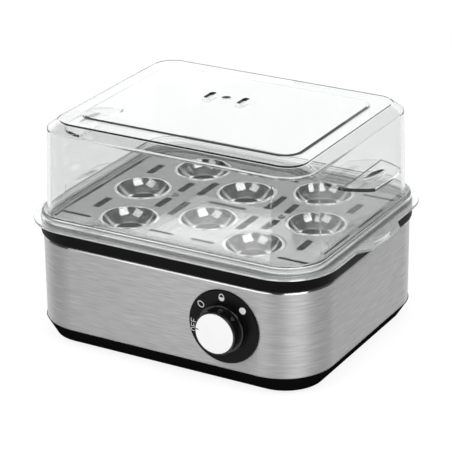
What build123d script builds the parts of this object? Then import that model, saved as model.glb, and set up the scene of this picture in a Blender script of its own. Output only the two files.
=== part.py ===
"""Electric egg cooker: steel body on a moulded base, eight-egg rack in a clear carrier, clear lid.

Millimetres, +Z up, origin on the table under the middle of the body, dial on the front (-Y).
"""

import os
from math import acos, asin, atan, cos, degrees, sin, sqrt, tan

from build123d import *

os.makedirs("parts", exist_ok=True)

# Steel body
BODY_WIDTH = 220.0
BODY_DEPTH = 182.2
BODY_CORNER = 37.2
WRAP_HEIGHT = 62.2
WRAP_SHEET = 0.8

# Gaps between pieces
SEAT_GAP = 0.2
LIFT_GAP = 0.5
RUN_GAP = 0.05
SCREW_GAP = 0.05

# Moulded base and its feet
BASE_HEIGHT = 11.9
BASE_INSET = 7.3
BASE_CORNER = 27.0
BASE_PROUD = 0.5
BASE_WALL = 2.4
BASE_FLOOR = 2.4
RIB_WALL = 1.8
RIB_HEIGHT = 4.0
FLOOR_VENT_LENGTH = 26.0
FLOOR_VENT_WIDTH = 3.0
FLOOR_VENT_PITCH = 9.0
FLOOR_VENT_COUNT = 7
FOOT_DROP = 2.0
FOOT_DIAMETER = 14.0
FOOT_RECESS = 0.8
FOOT_STEM = 5.0
FOOT_BULB = 6.6
FOOT_BULB_HEIGHT = 2.2
FOOT_INSET_X = 32.0
FOOT_INSET_Y = 31.0

# Top collar, with the ledge for the pan and the screw posts
COLLAR_HEIGHT = 10.9
COLLAR_PROUD = 1.6
COLLAR_ROUND = 2.2
COLLAR_TOP_ROUND = 0.8
LEDGE_THICKNESS = 2.9
POST_INSET = 20.5
POST_DIAMETER = 8.5
POST_SCREW = 3.6
POST_SCREW_DEPTH = 14.0
SCREW_HEAD = 6.4
SCREW_HEAD_SINK = 1.2
BOSS_INSET = 10.0
BOSS_DIAMETER = 8.0
BOSS_LENGTH = 9.0

# Water pan, gasket and what heats it
PAN_INSET = 17.0
PAN_CORNER = 28.0
PAN_FLANGE = 9.0
PAN_SHEET = 0.8
PAN_FLOOR_GAP = 2.3
PAN_DRAFT = 2.0
PAN_ROUND = 5.0
PAN_GAP = 1.0
GASKET_THICKNESS = 1.0
GASKET_WIDTH = 6.0
GASKET_SET = 1.0
SPREADER_DIAMETER = 116.0
SPREADER_THICKNESS = 3.0
STUD_DIAMETER = 5.0
ELEMENT_RING = 45.0
ELEMENT_TUBE = 7.0
ELEMENT_SINK = 1.5
ELEMENT_LEG_X = 8.0
ELEMENT_BEND = 10.0
ELEMENT_LEG = 12.0
TAB_WIDTH = 6.3
TAB_SHEET = 0.8
TAB_LENGTH = 11.0
STRAP_WIDTH = 14.0
STRAP_SHEET = 1.5
STRAP_DROP = 11.5
STRAP_RISER_GAP = 2.0
NUT_ACROSS = 8.0
NUT_HEIGHT = 4.0
STUD_TAIL = 1.5
STRAP_SCREW_HEAD_HEIGHT = 2.4
THERMOSTAT_DIAMETER = 16.0
THERMOSTAT_HEIGHT = 9.0
THERMOSTAT_Y = -26.0
THERMOSTAT_EARS = 24.0
THERMOSTAT_EAR_SHEET = 1.2
THERMOSTAT_BLADE = 4.0
THERMOSTAT_SCREW = 2.6
THERMOSTAT_SCREW_BITE = 2.2

# Dial on the front wall
DIAL_INSET = 61.5
DIAL_DROP = 0.3
BEZEL_MARGIN = 4.9
BEZEL_THICKNESS = 1.6
BEZEL_ROUND = 0.9
BEZEL_HUB = 37.0
BEZEL_HUB_RISE = 0.7
SHAFT_DIAMETER = 6.0
SHAFT_FLAT = 1.5
SHAFT_HOLE_GAP = 1.5
CONTROL_WIDTH = 34.0
CONTROL_HEIGHT = 26.0
CONTROL_DEPTH = 24.0
CONTROL_CORNER = 3.0
CONTROL_BORE_DEPTH = 15.0
CONTROL_BLADE = 8.0
CONTROL_BLADE_SPAN = 17.0
CONTROL_BLADE_DROP = 6.7
PLATE_WIDTH = 44.0
PLATE_HEIGHT = 40.0
PLATE_SHEET = 1.2
PLATE_CORNER = 4.0
CONTROL_SCREW_SPAN = 22.0
CONTROL_SCREW = 3.5
CONTROL_SCREW_HEAD = 6.0
CONTROL_SCREW_HEAD_HEIGHT = 1.5
CONTROL_SCREW_SINK = 1.7
CONTROL_SCREW_DEPTH = 8.0

# Knob
KNOB_GAP = 0.7
SKIRT_DIAMETER = 34.0
SKIRT_HEIGHT = 2.6
KNOB_DIAMETER = 31.0
KNOB_FRONT = 30.0
KNOB_HEIGHT = 10.3
KNOB_WALL = 2.0
KNOB_HUB = 12.0
KNOB_FACE = 2.6
CAP_DIAMETER = 28.0
CAP_SINK = 1.0
CAP_RISE = 0.5
CAP_ROUND = 0.4
KNOB_ROUND = 0.8
SPRING_SHEET = 0.5
SPRING_WIDTH = 3.6
SHAFT_END_GAP = 0.6

# Cord gland and terminal block
GLAND_INSET = 55.0
GLAND_HEIGHT = 26.0
GLAND_BODY = 11.0
GLAND_FLANGE = 16.0
GLAND_FLANGE_THICKNESS = 2.0
GLAND_BORE = 7.0
GLAND_NUT = 15.0
GLAND_NUT_THICKNESS = 3.0
BLOCK_LENGTH = 30.0
BLOCK_WIDTH = 16.0
BLOCK_HEIGHT = 15.6
BLOCK_CORNER = 2.0
BLOCK_INSET = 33.1
BLOCK_PITCH = 8.0
BLOCK_WAYS = 3
BLOCK_BORE = 4.0
BLOCK_BORE_HEIGHT = 7.6
BLOCK_SCREW_SPAN = 8.0
BLOCK_SCREW = 3.0
BLOCK_SCREW_HEAD = 5.4
BLOCK_SCREW_SINK = 4.0
BLOCK_SCREW_BITE = 1.8
LEAD_DIAMETER = 2.8
LEAD_BEND = 6.0
LEAD_EXIT = 30.0
LIVE_EXIT = 40.0
LIVE_RISE_START = 32.0
LIVE_TAIL = 15.0
FUSE_TAIL = 17.0
ELEMENT_LEAD_DROP = 10.0
THERMOSTAT_LEAD = 12.0
LINK_TURN = 24.0
NEUTRAL_DROP = 22.0
EARTH_SHIFT = 25.0
EARTH_RISE = 8.0
FUSE_DIAMETER = 5.6
FUSE_LENGTH = 18.0

# Clear carrier with brim and side tabs
LID_CORNER = 30.5
BRIM_PROUD = 5.0
BRIM_CORNER = 38.2
BRIM_THICKNESS = 1.6
BRIM_ROUND = 0.6
UPSTAND_INSET = 1.6
UPSTAND_WALL = 1.8
UPSTAND_HEIGHT = 3.6
WELL_INSET = 4.8
WELL_WALL = 1.6
WELL_DEPTH = 4.5
CARRIER_LEDGE = 4.6
CARRIER_TAB_REACH = 12.8
CARRIER_TAB_ROOT = 72.0
CARRIER_TAB_TIP = 44.0
CARRIER_TAB_BULGE = -1.6
CARRIER_HOLLOW = 6.6

# Egg rack
RACK_GAP = 0.6
RACK_SHEET = 0.8
RACK_RIM = 4.0
RACK_ROUND = 1.0
CUP_LIP = 40.0
CUP_LIP_RISE = 0.15
CUP_SLOPE = 2.0
CUP_LIP_WIDTH = 1.6
CUP_LIP_CROWN = 0.45
CUP_BELLY = 1.1
CUP_DEPTH = 8.4
CUP_HOLE = 20.0
CORNER_CUP_SHARE = 0.471
CORNER_CUP_INSET = 33.8
SIDE_CUP_INSET = 34.5
CENTRE_CUP_SPAN = 53.0
PIP_LEAD = 4.7
PIP_DIAMETER = 7.0
PIP_TOP = 4.6
PIP_RISE = 0.8
PIP_HOLE = 2.4
SLOT_WIDTH = 5.5
SLOT_CORNER = 1.4
INNER_SLOT = (27.0, 20.0, 25.5)
MIDDLE_SLOT = (42.2, 15.7, 18.0)
OUTER_SLOT = (79.5, 35.5, 18.5)
CENTRE_SLOT_LENGTH = 29.0
CENTRE_SLOT_WIDTH = 4.0
BORDER_SLOT_WIDTH = 3.0
SIDE_BORDER_INSET = 6.0
SIDE_BORDER_Y = 25.5
SIDE_BORDER_LENGTH = 37.0
END_BORDER_INSET = 22.5
END_CORNER_X = 84.5
END_CORNER_LENGTH = 24.0
END_MIDDLE_X = 16.0
END_MIDDLE_LENGTH = 18.0

# Lid
LID_INSET = 5.5
LID_WALL = 2.0
LID_WALL_HEIGHT = 60.9
LID_WALL_DRAFT = 2.27
SHOULDER_HEIGHT = 5.5
SHOULDER_RUN = 7.93
SHOULDER_ROUND = 3.0
LID_TOP_ROUND = 3.0
LID_FLANGE_INSET = 2.5
LID_FLANGE_THICKNESS = 1.7
LID_FLANGE_ROUND = 0.7
LID_RIB_GAP = 0.4
LID_RIB_WALL = 1.5
LID_RIB_DEPTH = 3.0
PANEL_INSET_X = 26.0
PANEL_INSET_Y = 30.0
PANEL_CORNER = 14.0
PANEL_RISE = 0.6
PANEL_SLOPE = 75.0
VENT_LENGTH = 13.0
VENT_WIDTH = 4.4
VENT_SPAN = 26.2
VENT_X = -11.0
VENT_Y = 19.0
VENT_RIM = 1.2
VENT_RIM_DEPTH = 1.8
VENT_DIMPLE = 7.0
VENT_DIMPLE_SINK = 0.8
LID_TAB_HEIGHT = 38.9
LID_TAB_THICKNESS = 2.4
LID_TAB_ROOT = 58.0
LID_TAB_TIP = 40.0
LID_TAB_REACH = 13.5
TAB_SINK = 1.0
TAB_BULGE = 1.4
TAB_ROUND = 2.5
DIMPLE_LENGTH = 26.0
DIMPLE_WIDTH = 9.5
DIMPLE_DEPTH = 0.9

# Levels, from the table up
base_floor = FOOT_DROP + BASE_FLOOR
base_top = FOOT_DROP + BASE_HEIGHT
dial_z = base_top + WRAP_HEIGHT / 2 - DIAL_DROP
wrap_top = base_top + WRAP_HEIGHT
ledge_top = wrap_top + LEDGE_THICKNESS
collar_top = wrap_top + COLLAR_HEIGHT
flange_low = ledge_top + GASKET_THICKNESS
pan_top = flange_low + PAN_SHEET
pan_under = dial_z + CONTROL_HEIGHT / 2 + PAN_FLOOR_GAP
spreader_under = pan_under - SPREADER_THICKNESS
element_axis = spreader_under + ELEMENT_SINK - ELEMENT_TUBE / 2
strap_top = spreader_under - STRAP_DROP
strap_low = strap_top - STRAP_SHEET
boss_low = wrap_top - BOSS_LENGTH
brim_top = collar_top + BRIM_THICKNESS
upstand_top = brim_top + UPSTAND_HEIGHT
well_floor = collar_top - WELL_DEPTH
rack_seat = well_floor + WELL_WALL
rack_top = rack_seat + RACK_RIM
shoulder_low = upstand_top + LID_WALL_HEIGHT
lid_top = shoulder_low + SHOULDER_HEIGHT
lid_tab_top = upstand_top + LID_TAB_HEIGHT
lead_z = base_floor + BLOCK_BORE_HEIGHT

# Lean of the lid's wall and shoulder, and how far the inner shoulder sits below the outer one
wall_angle = atan(LID_WALL_DRAFT / LID_WALL_HEIGHT)
shoulder_angle = atan(SHOULDER_RUN / SHOULDER_HEIGHT)
shoulder_step = (1 / cos(shoulder_angle) - 1 / cos(wall_angle)) / (tan(shoulder_angle) - tan(wall_angle))

# Distances out from the front wall, along the dial's axis
control_depth = WRAP_SHEET + PLATE_SHEET
hub_front = BEZEL_THICKNESS + BEZEL_HUB_RISE
knob_back = hub_front + KNOB_GAP
knob_front = knob_back + KNOB_HEIGHT
cap_back = knob_front - CAP_SINK
cap_front = knob_front + CAP_RISE
hollow_end = cap_back - KNOB_FACE
shaft_end = hollow_end - SHAFT_END_GAP

# Places and sizes shared by more than one piece
half_width = BODY_WIDTH / 2
half_depth = BODY_DEPTH / 2
dial_x = half_width - DIAL_INSET
gland_x = GLAND_INSET - half_width
block_y = half_depth - BLOCK_INSET
rib_inset = WRAP_SHEET + SEAT_GAP
pan_opening = PAN_INSET - PAN_GAP
well_inner = WELL_INSET + WELL_WALL
rack_inset = well_inner + RACK_GAP
rack_half_width = half_width - rack_inset
rack_half_depth = half_depth - rack_inset
shaft_hole = SHAFT_DIAMETER + 2 * SHAFT_HOLE_GAP
control_screw_hole = CONTROL_SCREW + 2 * SEAT_GAP
dial_face = Plane(origin=(dial_x, -half_depth, dial_z), x_dir=(1, 0, 0), z_dir=(0, -1, 0))
gland_face = Plane(origin=(gland_x, half_depth, GLAND_HEIGHT), x_dir=(-1, 0, 0), z_dir=(0, 1, 0))
sides = (-1, 1)
corners = [(sx, sy) for sx in sides for sy in sides]
posts = [(sx * (half_width - POST_INSET), sy * (half_depth - POST_INSET)) for sx, sy in corners]
feet = [(sx * (half_width - FOOT_INSET_X), sy * (half_depth - FOOT_INSET_Y)) for sx, sy in corners]
bosses = [(side * (half_width - BOSS_INSET), 0) for side in sides]
ear_spots = [(side * THERMOSTAT_EARS / 2, THERMOSTAT_Y) for side in sides]
block_screws = [(gland_x + side * BLOCK_SCREW_SPAN / 2, block_y) for side in sides]
control_screw_spots = [(side * CONTROL_SCREW_SPAN / 2, 0) for side in sides]
corner_cup_x = rack_half_width * CORNER_CUP_SHARE
corner_cup_y = rack_half_depth - CORNER_CUP_INSET
cup_spots = [(sx * corner_cup_x, sy * corner_cup_y) for sx, sy in corners]
side_cup_x = rack_half_width - SIDE_CUP_INSET
cup_spots += [(side * side_cup_x, 0) for side in sides]
cup_spots += [(0, side * CENTRE_CUP_SPAN / 2) for side in sides]
pip_x = side_cup_x - CUP_LIP / 2 - CUP_SLOPE - PIP_LEAD
pip_spots = [(side * pip_x, 0) for side in sides]


def body_outline(inset, mode=Mode.ADD):
    """Rounded rectangle that follows the steel wall, drawn in by inset."""
    width = BODY_WIDTH - 2 * inset
    depth = BODY_DEPTH - 2 * inset
    return RectangleRounded(width, depth, BODY_CORNER - inset, mode=mode)


def lid_outline(inset, mode=Mode.ADD):
    """Rounded rectangle of the lid family, measured in from the steel wall."""
    width = BODY_WIDTH - 2 * inset
    depth = BODY_DEPTH - 2 * inset
    return RectangleRounded(width, depth, LID_CORNER - inset, mode=mode)


def pan_outline(inset, mode=Mode.ADD):
    """Rounded rectangle of the pan family, measured in from the steel wall."""
    width = BODY_WIDTH - 2 * inset
    depth = BODY_DEPTH - 2 * inset
    return RectangleRounded(width, depth, PAN_CORNER + PAN_INSET - inset, mode=mode)


def ring(outer, outer_inset, inner, inner_inset, low, high):
    """Add an upright ring between two outlines and two levels."""
    with BuildSketch(Plane.XY.offset(low)) as plan:
        outer(outer_inset)
        inner(inner_inset, mode=Mode.SUBTRACT)
    extrude(plan.sketch, amount=high - low)


def pegs(spots, low, high, diameter, mode=Mode.ADD):
    """Add or cut upright round pegs at the given places, between two levels."""
    with Locations(*[(x, y, low) for x, y in spots]):
        Cylinder(diameter / 2, high - low, align=(Align.CENTER, Align.CENTER, Align.MIN), mode=mode)


def disc(face, start, end, *spots, diameter, mode=Mode.ADD):
    """Add or cut round discs on a wall's face, from start to end along its outward direction."""
    with BuildSketch(face.offset(start)) as plan:
        with Locations(*spots):
            Circle(diameter / 2)
    extrude(plan.sketch, amount=end - start, mode=mode)


def tab(side, root_x, tip_x, root, tip, bulge, low, high):
    """Add a tab on one side that narrows from root to tip along curved flanks."""
    near = side * root_x
    far = side * tip_x
    flank = (root + tip) / 4 + bulge
    with BuildSketch(Plane.XY.offset(low)) as plan:
        with BuildLine():
            Line((near, -root / 2), (near, root / 2))
            ThreePointArc((near, root / 2), ((near + far) / 2, flank), (far, tip / 2))
            ThreePointArc((far, tip / 2), (far + side * TAB_BULGE, 0), (far, -tip / 2))
            ThreePointArc((far, -tip / 2), ((near + far) / 2, -flank), (near, -root / 2))
        make_face()
        fillet(plan.vertices().sort_by(Axis.X, reverse=side < 0)[-2:], TAB_ROUND)
    extrude(plan.sketch, amount=high - low)


def finger_hollow(x, top):
    """Cut an oval scoop: a shallow arc along Y swung a little about an axis above the surface."""
    turn = (DIMPLE_WIDTH**2 / 4 + DIMPLE_DEPTH**2) / (2 * DIMPLE_DEPTH)
    rim = turn - DIMPLE_DEPTH
    end = DIMPLE_LENGTH / 2
    swing = asin(DIMPLE_WIDTH / 2 / turn)
    pivot = (x, 0, top + rim)
    with BuildSketch(Plane(origin=pivot, x_dir=(0, 1, 0), z_dir=(cos(swing), 0, -sin(swing)))) as profile:
        with BuildLine():
            Polyline((-end, -rim), (-end, 0), (end, 0), (end, -rim))
            ThreePointArc((-end, -rim), (0, -turn), (end, -rim))
        make_face()
    revolve(profile.sketch, Axis(pivot, (0, -1, 0)), 2 * degrees(swing), mode=Mode.SUBTRACT)


def dish(inset, low, bottom_round):
    """Solid dish from the pan's rim down to a level, with a rounded bottom edge."""
    with BuildPart() as solid:
        with BuildSketch(Plane.XY.offset(pan_top)):
            pan_outline(inset)
        extrude(amount=low - pan_top, taper=degrees(atan(PAN_DRAFT / (pan_top - pan_under))))
        fillet(solid.faces().sort_by(Axis.Z)[0].edges(), bottom_round)
    return solid


def dome(inset, shoulder, top, shoulder_round, top_round):
    """Solid dome on the upstand: drafted wall, rounded shoulder, flat top."""
    wall_height = shoulder - upstand_top
    with BuildPart() as solid:
        with BuildSketch(Plane.XY.offset(upstand_top)):
            lid_outline(inset)
        extrude(amount=wall_height, taper=degrees(wall_angle))
        with BuildSketch(Plane.XY.offset(shoulder)):
            lid_outline(inset + wall_height * tan(wall_angle))
        extrude(amount=top - shoulder, taper=degrees(shoulder_angle))
        fillet(solid.edges().filter_by_position(Axis.Z, shoulder, shoulder), shoulder_round)
        fillet(solid.faces().sort_by(Axis.Z)[-1].edges(), top_round)
    return solid


def lead(points):
    """Insulated wire along straight runs joined by arcs."""
    with BuildPart() as wire:
        with BuildLine() as route:
            FilletPolyline(*points, radius=LEAD_BEND)
        with BuildSketch(Plane(origin=route.line @ 0, z_dir=route.line % 0)):
            Circle(LEAD_DIAMETER / 2)
        sweep(path=route.wire())
    return wire


# Base: tapered tray with a rib that the steel band slips over
with BuildPart() as base_tray:
    cavity_inset = BASE_INSET + BASE_WALL
    with BuildSketch(Plane.XY.offset(FOOT_DROP)):
        RectangleRounded(BODY_WIDTH - 2 * BASE_INSET, BODY_DEPTH - 2 * BASE_INSET, BASE_CORNER)
    with BuildSketch(Plane.XY.offset(base_top)):
        body_outline(-BASE_PROUD)
    loft()
    with BuildSketch(Plane.XY.offset(base_floor)):
        cavity_size = BODY_WIDTH - 2 * cavity_inset, BODY_DEPTH - 2 * cavity_inset
        RectangleRounded(*cavity_size, BASE_CORNER - BASE_WALL)
    with BuildSketch(Plane.XY.offset(base_top)):
        body_outline(rib_inset + RIB_WALL)
    loft(mode=Mode.SUBTRACT)
    ring(body_outline, rib_inset, body_outline, rib_inset + RIB_WALL, base_top, base_top + RIB_HEIGHT)
    with BuildSketch(Plane.XY.offset(FOOT_DROP)):
        with GridLocations(0, FLOOR_VENT_PITCH, 1, FLOOR_VENT_COUNT):
            SlotOverall(FLOOR_VENT_LENGTH, FLOOR_VENT_WIDTH)
    extrude(amount=BASE_FLOOR, mode=Mode.SUBTRACT)
    pegs(feet, FOOT_DROP, FOOT_DROP + FOOT_RECESS, FOOT_DIAMETER + 2 * SEAT_GAP, Mode.SUBTRACT)
    pegs(feet, FOOT_DROP, base_floor, FOOT_STEM + 2 * SEAT_GAP, Mode.SUBTRACT)
    pegs(posts, FOOT_DROP, FOOT_DROP + SCREW_HEAD_SINK, SCREW_HEAD + 2 * SEAT_GAP, Mode.SUBTRACT)
    pegs(posts, FOOT_DROP, base_floor, POST_SCREW + 2 * SEAT_GAP, Mode.SUBTRACT)
    pegs(block_screws, base_floor - BLOCK_SCREW_BITE, base_floor, BLOCK_SCREW + 2 * SCREW_GAP, Mode.SUBTRACT)

# Feet: a pad in its seat, a stem through the floor and a bulb that holds it
with BuildPart() as rubber_feet:
    pegs(feet, 0, FOOT_DROP + FOOT_RECESS, FOOT_DIAMETER)
    pegs(feet, 0, base_floor, FOOT_STEM)
    with Locations(*[(x, y, base_floor) for x, y in feet]):
        Cone(FOOT_BULB / 2, FOOT_STEM / 2, FOOT_BULB_HEIGHT, align=(Align.CENTER, Align.CENTER, Align.MIN))

# Steel band with the dial's holes in front and the gland's hole at the back
with BuildPart() as steel_wrap:
    ring(body_outline, 0, body_outline, WRAP_SHEET, base_top, wrap_top)
    disc(dial_face, 0, -WRAP_SHEET, (0, 0), diameter=shaft_hole, mode=Mode.SUBTRACT)
    disc(dial_face, 0, -WRAP_SHEET, *control_screw_spots, diameter=control_screw_hole, mode=Mode.SUBTRACT)
    disc(gland_face, 0, -WRAP_SHEET, (0, 0), diameter=GLAND_BODY + 2 * SEAT_GAP, mode=Mode.SUBTRACT)

# Collar: rounded frame, pan ledge, rib inside the band, posts and strap bosses
with BuildPart() as top_collar:
    ring(body_outline, -COLLAR_PROUD, lid_outline, WELL_INSET - LIFT_GAP, wrap_top, collar_top)
    fillet(top_collar.faces().sort_by(Axis.Z)[0].outer_wire().edges(), COLLAR_ROUND)
    fillet(top_collar.faces().sort_by(Axis.Z)[-1].outer_wire().edges(), COLLAR_TOP_ROUND)
    ring(body_outline, rib_inset + RIB_WALL, pan_outline, pan_opening, wrap_top, ledge_top)
    ring(body_outline, rib_inset, body_outline, rib_inset + RIB_WALL, wrap_top - RIB_HEIGHT, ledge_top)
    pegs(posts, base_floor, wrap_top, POST_DIAMETER)
    pegs(posts, base_floor, base_floor + POST_SCREW_DEPTH, POST_SCREW, Mode.SUBTRACT)
    pegs(bosses, boss_low, wrap_top, BOSS_DIAMETER)
    pegs(bosses, boss_low, wrap_top, POST_SCREW, Mode.SUBTRACT)

# Screws from below into the posts
with BuildPart() as base_screws:
    pegs(posts, FOOT_DROP, FOOT_DROP + SCREW_HEAD_SINK, SCREW_HEAD)
    pegs(posts, FOOT_DROP, base_floor + POST_SCREW_DEPTH - SEAT_GAP, POST_SCREW - 2 * SCREW_GAP)

# Silicone ring under the pan's flange
with BuildPart() as pan_gasket:
    gasket_inset = PAN_INSET - PAN_FLANGE + GASKET_SET
    ring(pan_outline, gasket_inset, pan_outline, gasket_inset + GASKET_WIDTH, ledge_top, flange_low)

# Pan: drawn dish with a flat flange
pan_outside = dish(PAN_INSET, pan_under, PAN_ROUND)
pan_inside = dish(PAN_INSET + PAN_SHEET, pan_under + PAN_SHEET, PAN_ROUND - PAN_SHEET)
with BuildPart() as water_pan:
    add(pan_outside.part)
    ring(pan_outline, PAN_INSET - PAN_FLANGE, pan_outline, PAN_INSET + PAN_SHEET, flange_low, pan_top)
    add(pan_inside.part, mode=Mode.SUBTRACT)

# Route of the element: two legs that open into one ring
with BuildLine() as element_route:
    bend_x = ELEMENT_LEG_X + ELEMENT_BEND
    bend_y = -sqrt((ELEMENT_RING + ELEMENT_BEND) ** 2 - bend_x**2)
    opening = degrees(acos(bend_x / (ELEMENT_RING + ELEMENT_BEND)))
    leg = Line((ELEMENT_LEG_X, bend_y - ELEMENT_LEG, element_axis), (ELEMENT_LEG_X, bend_y, element_axis))
    turn_out = JernArc(leg @ 1, leg % 1, ELEMENT_BEND, -opening)
    loop = JernArc(turn_out @ 1, turn_out % 1, ELEMENT_RING, 180 + 2 * opening)
    turn_in = JernArc(loop @ 1, loop % 1, ELEMENT_BEND, -opening)
    Line(turn_in @ 1, turn_in @ 1 + ELEMENT_LEG * (turn_in % 1))
element_start = Plane(origin=leg @ 0, z_dir=leg % 0)
leg_end = bend_y - ELEMENT_LEG

# Heating element: sheathed tube with a blade on each leg
with BuildPart() as heating_element:
    with BuildSketch(element_start):
        Circle(ELEMENT_TUBE / 2)
    sweep(path=element_route.wire())
    blade_low = element_axis - ELEMENT_TUBE / 2 - TAB_LENGTH
    for side in sides:
        with Locations((side * ELEMENT_LEG_X, leg_end + TAB_WIDTH / 2, blade_low)):
            Box(TAB_SHEET, TAB_WIDTH, element_axis - blade_low, align=(Align.CENTER, Align.CENTER, Align.MIN))

# Spreader: disc with the element's groove, tapped holes and the stud for the strap
with BuildPart() as heat_spreader:
    pegs([(0, 0)], spreader_under, pan_under, SPREADER_DIAMETER)
    with BuildSketch(element_start):
        Circle(ELEMENT_TUBE / 2 + SCREW_GAP)
    sweep(path=element_route.wire(), mode=Mode.SUBTRACT)
    pegs([(0, 0)], strap_low - NUT_HEIGHT - STUD_TAIL, spreader_under, STUD_DIAMETER)
    tapped = spreader_under + THERMOSTAT_SCREW_BITE
    pegs(ear_spots, spreader_under, tapped, THERMOSTAT_SCREW + 2 * SCREW_GAP, Mode.SUBTRACT)

# Strap: bar bent up at both ends to the collar's bosses
with BuildPart() as pan_strap:
    riser = half_width - PAN_INSET + STRAP_RISER_GAP
    end = half_width - BOSS_INSET + BOSS_DIAMETER / 2
    with BuildSketch(Plane.XZ.offset(-STRAP_WIDTH / 2)):
        with BuildLine():
            Polyline(
                (0, strap_low),
                (riser + STRAP_SHEET, strap_low),
                (riser + STRAP_SHEET, boss_low - STRAP_SHEET),
                (end, boss_low - STRAP_SHEET),
                (end, boss_low),
                (riser, boss_low),
                (riser, strap_top),
                (0, strap_top),
            )
            mirror(about=Plane.YZ)
        make_face()
    extrude(amount=STRAP_WIDTH)
    pegs([(0, 0)], strap_low, strap_top, STUD_DIAMETER + 2 * SEAT_GAP, Mode.SUBTRACT)
    pegs(bosses, boss_low - STRAP_SHEET, boss_low, POST_SCREW + 2 * SEAT_GAP, Mode.SUBTRACT)

# Nut on the stud, and the two screws of the strap
with BuildPart() as strap_nut:
    with BuildSketch(Plane.XY.offset(strap_low - NUT_HEIGHT)):
        RegularPolygon(NUT_ACROSS / 2, 6, major_radius=False)
        Circle(STUD_DIAMETER / 2 + SCREW_GAP, mode=Mode.SUBTRACT)
    extrude(amount=NUT_HEIGHT)

with BuildPart() as strap_screws:
    strap_tab_low = boss_low - STRAP_SHEET
    pegs(bosses, strap_tab_low - STRAP_SCREW_HEAD_HEIGHT, strap_tab_low, SCREW_HEAD)
    pegs(bosses, strap_tab_low, wrap_top - SEAT_GAP, POST_SCREW - 2 * SCREW_GAP)

# Boil-dry thermostat: round body, eared plate and two blades
with BuildPart() as boil_dry_thermostat:
    thermostat_low = spreader_under - THERMOSTAT_HEIGHT
    pegs([(0, THERMOSTAT_Y)], thermostat_low, spreader_under, THERMOSTAT_DIAMETER)
    with BuildSketch(Plane.XY.offset(spreader_under)):
        with Locations((0, THERMOSTAT_Y)):
            SlotCenterToCenter(THERMOSTAT_EARS, THERMOSTAT_DIAMETER / 2)
    extrude(amount=-THERMOSTAT_EAR_SHEET)
    with Locations((0, THERMOSTAT_Y, thermostat_low)):
        blade_span = THERMOSTAT_DIAMETER + 2 * THERMOSTAT_BLADE
        Box(blade_span, TAB_WIDTH, TAB_SHEET, align=(Align.CENTER, Align.CENTER, Align.MIN))
    ear_low = spreader_under - THERMOSTAT_EAR_SHEET
    pegs(ear_spots, ear_low, spreader_under, THERMOSTAT_SCREW + 2 * SEAT_GAP, Mode.SUBTRACT)

with BuildPart() as thermostat_screws:
    pegs(ear_spots, ear_low - THERMOSTAT_SCREW / 2, ear_low, 2 * THERMOSTAT_SCREW)
    pegs(ear_spots, ear_low, tapped - SEAT_GAP, THERMOSTAT_SCREW)

# Backing plate that stiffens the thin front wall behind the dial
with BuildPart() as control_plate:
    with BuildSketch(dial_face.offset(-WRAP_SHEET)):
        RectangleRounded(PLATE_WIDTH, PLATE_HEIGHT, PLATE_CORNER)
        Circle(shaft_hole / 2, mode=Mode.SUBTRACT)
        with Locations(*control_screw_spots):
            Circle(control_screw_hole / 2, mode=Mode.SUBTRACT)
    extrude(amount=-PLATE_SHEET)

# Regulator behind the plate, with the shaft's bore, tapped holes and two blades
with BuildPart() as control_body:
    with BuildSketch(dial_face.offset(-control_depth)):
        RectangleRounded(CONTROL_WIDTH, CONTROL_HEIGHT, CONTROL_CORNER)
    extrude(amount=-CONTROL_DEPTH)
    bore_end = -control_depth - CONTROL_BORE_DEPTH
    bore = SHAFT_DIAMETER + 2 * RUN_GAP
    disc(dial_face, -control_depth, bore_end, (0, 0), diameter=bore, mode=Mode.SUBTRACT)
    screw_end = -control_depth - CONTROL_SCREW_DEPTH
    tap = CONTROL_SCREW
    disc(dial_face, -control_depth, screw_end, *control_screw_spots, diameter=tap, mode=Mode.SUBTRACT)
    with BuildSketch(dial_face.offset(-control_depth - CONTROL_DEPTH)):
        with Locations(*[(side * CONTROL_BLADE_SPAN / 2, -CONTROL_BLADE_DROP) for side in sides]):
            Rectangle(TAB_SHEET, TAB_WIDTH)
    extrude(amount=-CONTROL_BLADE)

# Shaft with a flat for the knob
with BuildPart() as control_shaft:
    disc(dial_face, bore_end + SHAFT_END_GAP, shaft_end, (0, 0), diameter=SHAFT_DIAMETER)
    with BuildSketch(dial_face.offset(knob_back)):
        with Locations((0, SHAFT_DIAMETER / 2 - SHAFT_FLAT)):
            Rectangle(SHAFT_DIAMETER, SHAFT_DIAMETER, align=(Align.CENTER, Align.MIN))
    extrude(amount=shaft_end - knob_back, mode=Mode.SUBTRACT)

# Bezel: disc with a rounded rim, a raised middle and sunk screws under the knob
with BuildPart() as dial_bezel:
    disc(dial_face, 0, BEZEL_THICKNESS, (0, 0), diameter=WRAP_HEIGHT - 2 * BEZEL_MARGIN)
    fillet(dial_bezel.faces().sort_by(Axis.Y)[0].edges(), BEZEL_ROUND)
    disc(dial_face, BEZEL_THICKNESS, hub_front, (0, 0), diameter=BEZEL_HUB)
    disc(dial_face, 0, hub_front, (0, 0), diameter=shaft_hole, mode=Mode.SUBTRACT)
    disc(dial_face, 0, hub_front, *control_screw_spots, diameter=control_screw_hole, mode=Mode.SUBTRACT)
    sunk_head = CONTROL_SCREW_HEAD + 2 * SEAT_GAP
    head_seat = hub_front - CONTROL_SCREW_SINK
    disc(dial_face, head_seat, hub_front, *control_screw_spots, diameter=sunk_head, mode=Mode.SUBTRACT)

with BuildPart() as control_screws:
    head_front = head_seat + CONTROL_SCREW_HEAD_HEIGHT
    disc(dial_face, head_seat, head_front, *control_screw_spots, diameter=CONTROL_SCREW_HEAD)
    shank_end = screw_end + SEAT_GAP
    disc(dial_face, head_seat, shank_end, *control_screw_spots, diameter=CONTROL_SCREW - 2 * SCREW_GAP)

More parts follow.
